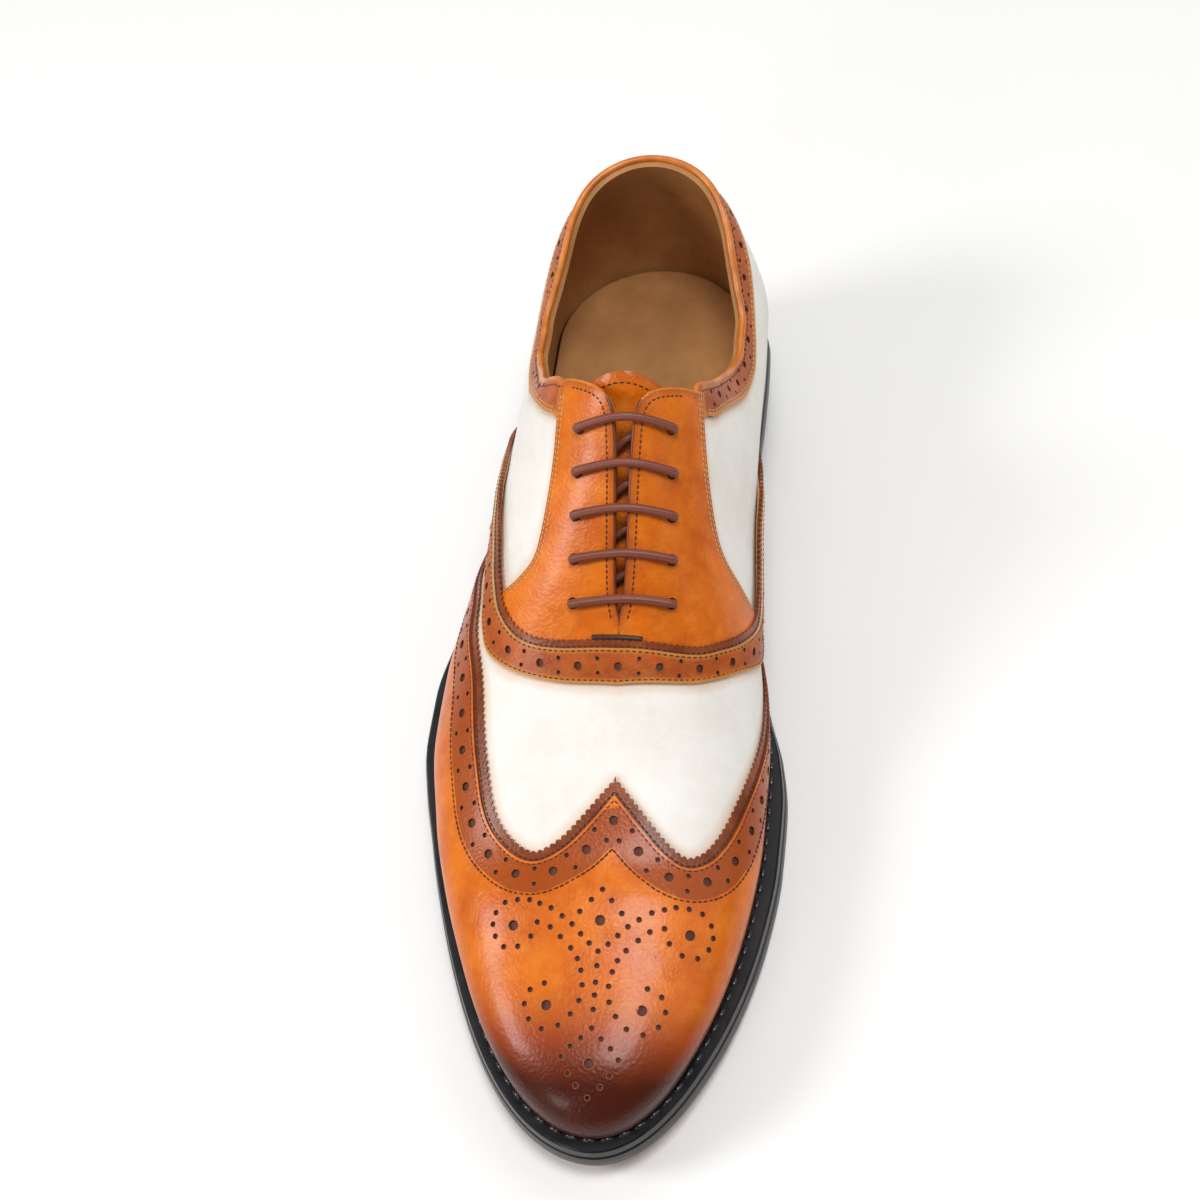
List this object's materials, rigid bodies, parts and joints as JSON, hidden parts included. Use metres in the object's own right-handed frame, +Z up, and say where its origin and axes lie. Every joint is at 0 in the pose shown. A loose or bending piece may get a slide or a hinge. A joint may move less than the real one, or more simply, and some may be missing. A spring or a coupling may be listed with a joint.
{
  "type": "spectator shoe",
  "caption": "Right two-tone leather dress shoe with a punched wing cap, closed lacing over a tongue, a stitched welt and a stacked heel.",
  "frame": {"origin": "on the floor, under the centre of the shoe's bounding box", "axes": "+Z up, -Y to the toe, +Y to the heel, -X to the outer side of the foot and +X to its inner side"},
  "size_m": [0.1148, 0.304, 0.1043],
  "materials": {
    "outsole": "waxed dark brown sole leather",
    "welt": "black burnished welt leather",
    "insole": "plain tan insole leather",
    "top_lift": "matt black rubber",
    "heel_lift": "stacked leather, stained dark and waxed",
    "upper": "off-white calf leather, fine grain",
    "tan_leather": "polished tan calf leather, burnished by hand",
    "brown_leather": "polished red-brown calf leather, punched",
    "lace": "round waxed cotton lace"
  },
  "bodies": {
    "root": {"outsole": "outsole", "welt": "welt", "insole": "insole", "top_lift": "top_lift", "heel_lift_1": "heel_lift", "heel_lift_2": "heel_lift", "heel_lift_3": "heel_lift", "upper": "upper", "tongue": "tan_leather", "wing_cap": "tan_leather", "vamp_band": "brown_leather", "facing_lateral": "tan_leather", "facing_medial": "tan_leather", "collar_band": "brown_leather", "backstay": "tan_leather", "lace": "lace"}
  },
  "joints": []
}
